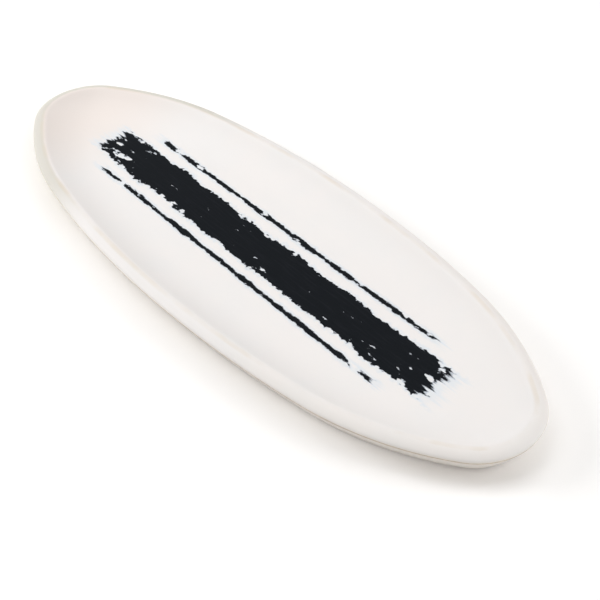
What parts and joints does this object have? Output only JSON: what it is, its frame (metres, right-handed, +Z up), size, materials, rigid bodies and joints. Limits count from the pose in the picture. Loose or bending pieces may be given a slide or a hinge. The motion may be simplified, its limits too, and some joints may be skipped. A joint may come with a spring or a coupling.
{
  "type": "oval tray",
  "caption": "Long shallow oval serving tray of glazed clay with a rolled lip, a low bare foot ring and brushed black stripes along its floor.",
  "frame": {"origin": "middle of the tray, on the plane of the table that its foot ring stands on", "axes": "+X along the tray's length, +Y across its width, +Z up"},
  "size_m": [0.38, 0.137, 0.017],
  "materials": {
    "clay": "bare fired clay, matt",
    "white_glaze": "cream-white satin glaze",
    "black_glaze": "brushed black satin glaze"
  },
  "bodies": {
    "root": {"tray_body": "clay", "foot_ring": "clay", "inside_glaze": "white_glaze", "outside_glaze": "white_glaze", "base_glaze": "white_glaze", "black_band": "black_glaze", "near_line": "black_glaze", "far_line": "black_glaze"}
  },
  "joints": []
}
